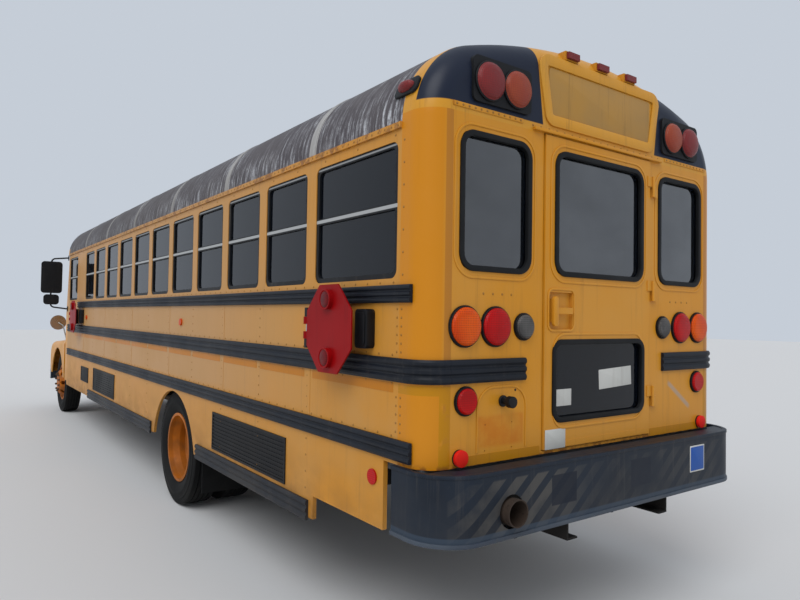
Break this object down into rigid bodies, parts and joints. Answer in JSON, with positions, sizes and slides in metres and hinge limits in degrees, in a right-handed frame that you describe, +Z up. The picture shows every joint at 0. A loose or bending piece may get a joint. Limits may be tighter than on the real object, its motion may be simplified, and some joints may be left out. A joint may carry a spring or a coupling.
{
  "type": "school bus",
  "caption": "Front-engine school bus with a hollow windowed body, rear and entry doors, a tilting hood, two stop arms, steered front wheels and twin rear wheels.",
  "frame": {"origin": "on the ground, below the middle of the bus's length and width", "axes": "+X forward along the bus, +Y to the bus's left, +Z up"},
  "size_m": [11.23, 3.2, 3.153],
  "materials": {
    "body_paint": "faded school bus yellow paint, worn",
    "dark_paint": "black paint, chalky",
    "frame_black": "chassis black with road dirt",
    "roof_paint": "weathered roof paint, chalky",
    "sash": "dull aluminium",
    "glass": "tinted glass",
    "tyre": "worn tyre rubber",
    "rubber": "black rubber",
    "rim_paint": "yellow wheel paint with brake dust",
    "iron": "rusted cast iron",
    "steel": "bare steel with rust",
    "lens_red": "red lens plastic",
    "lens_amber": "amber lens plastic",
    "lens_clear": "clear lens plastic",
    "black_plastic": "black plastic",
    "sign_red": "red sign paint",
    "vinyl": "dark seat vinyl",
    "floor_paint": "black ribbed floor",
    "chrome": "bright metal",
    "aluminium_core": "dusty radiator core"
  },
  "bodies": {
    "bus": {"cowl": "body_paint", "crossmembers": "frame_black", "dash": "black_plastic", "driver_seat": "vinyl", "driveshaft": "steel", "engine": "iron", "exhaust": "steel", "floor": "floor_paint", "frame_rails": "frame_black", "front_axle": "iron", "front_bumper": "dark_paint", "fuel_tank": "steel", "lamp_housings": "dark_paint", "leaf_springs": "steel", "lenses_amber": "lens_amber", "lenses_clear": "lens_clear", "lenses_red": "lens_red", "mirrors": "dark_paint", "mud_flaps": "rubber", "radiator": "aluminium_core", "rear_axle": "iron", "rear_bumper": "dark_paint", "rear_wall": "body_paint", "roof": "roof_paint", "roof_caps": "body_paint", "rub_rails": "dark_paint", "seat_frames": "steel", "seats": "vinyl", "side_left": "body_paint", "side_right": "body_paint", "skirt_vents": "dark_paint", "stepwell": "floor_paint", "stop_arm_bases": "black_plastic", "tow_eyes": "frame_black", "window_frames": "sash", "window_glass": "glass"},
    "hood": {"hood": "body_paint", "front_grille": "dark_paint", "headlamps": "lens_clear", "crossview_mirrors": "black_plastic"},
    "steer_left": {"knuckle_left": "iron"},
    "steer_right": {"knuckle_right": "iron"},
    "tie_rod": {"tie_rod": "steel"},
    "front_wheel_left": {"front_tire_left": "tyre", "front_rim_left": "rim_paint"},
    "front_wheel_right": {"front_tire_right": "tyre", "front_rim_right": "rim_paint"},
    "rear_wheels_left": {"rear_tires_left": "tyre", "rear_rims_left": "rim_paint"},
    "rear_wheels_right": {"rear_tires_right": "tyre", "rear_rims_right": "rim_paint"},
    "rear_door": {"rear_door": "body_paint", "rear_door_glass": "glass", "rear_door_handle": "chrome"},
    "entry_rear": {"entry_leaf_rear": "body_paint", "entry_glass_rear": "glass"},
    "entry_front": {"entry_leaf_front": "body_paint", "entry_glass_front": "glass"},
    "stop_arm_rear": {"stop_sign_rear": "sign_red"},
    "stop_arm_front": {"stop_sign_front": "sign_red"}
  },
  "joints": [
    {"name": "rear_door_swing", "type": "hinge", "parent": "bus", "child": "rear_door", "pos_m": [-5.447, -0.478, 1.8], "axis": [0, 0, 1], "range_deg": [0, 100]},
    {"name": "entry_rear_swing", "type": "hinge", "parent": "bus", "child": "entry_rear", "pos_m": [2.843, -1.241, 1.45], "axis": [0, 0, -1], "range_deg": [0, 88]},
    {"name": "entry_front_swing", "type": "hinge", "parent": "bus", "child": "entry_front", "pos_m": [3.587, -1.241, 1.45], "axis": [0, 0, 1], "range_deg": [0, 88]},
    {"name": "hood_tilt", "type": "hinge", "parent": "bus", "child": "hood", "pos_m": [5.495, 0, 0.775], "axis": [0, 1, 0], "range_deg": [0, 70]},
    {"name": "steer_left", "type": "hinge", "parent": "bus", "child": "steer_left", "pos_m": [4.627, 0.8, 0.495], "axis": [0, 0, 1], "range_deg": [-35, 35]},
    {"name": "steer_right", "type": "hinge", "parent": "bus", "child": "steer_right", "pos_m": [4.627, -0.8, 0.495], "axis": [0, 0, 1], "range_deg": [-35, 35]},
    {"name": "tie_rod_swivel", "type": "hinge", "parent": "steer_left", "child": "tie_rod", "pos_m": [4.447, 0.824, 0.38], "axis": [0, 0, 1], "range_deg": [-35, 35]},
    {"name": "front_left_spin", "type": "hinge", "parent": "steer_left", "child": "front_wheel_left", "pos_m": [4.627, 1.03, 0.495], "axis": [0, 1, 0], "continuous": true},
    {"name": "front_right_spin", "type": "hinge", "parent": "steer_right", "child": "front_wheel_right", "pos_m": [4.627, -1.03, 0.495], "axis": [0, 1, 0], "continuous": true},
    {"name": "rear_left_spin", "type": "hinge", "parent": "bus", "child": "rear_wheels_left", "pos_m": [-1.825, 0.898, 0.495], "axis": [0, 1, 0], "continuous": true},
    {"name": "rear_right_spin", "type": "hinge", "parent": "bus", "child": "rear_wheels_right", "pos_m": [-1.825, -0.898, 0.495], "axis": [0, 1, 0], "continuous": true},
    {"name": "stop_arm_rear_swing", "type": "hinge", "parent": "bus", "child": "stop_arm_rear", "pos_m": [-4.491, 1.319, 1.617], "axis": [0, 0, -1], "range_deg": [0, 90]},
    {"name": "stop_arm_front_swing", "type": "hinge", "parent": "bus", "child": "stop_arm_front", "pos_m": [2.905, 1.319, 1.617], "axis": [0, 0, -1], "range_deg": [0, 90]}
  ],
  "couplings": [
    {"joint": "steer_right", "follows": "steer_left", "ratio": 1},
    {"joint": "tie_rod_swivel", "follows": "steer_left", "ratio": -1}
  ]
}
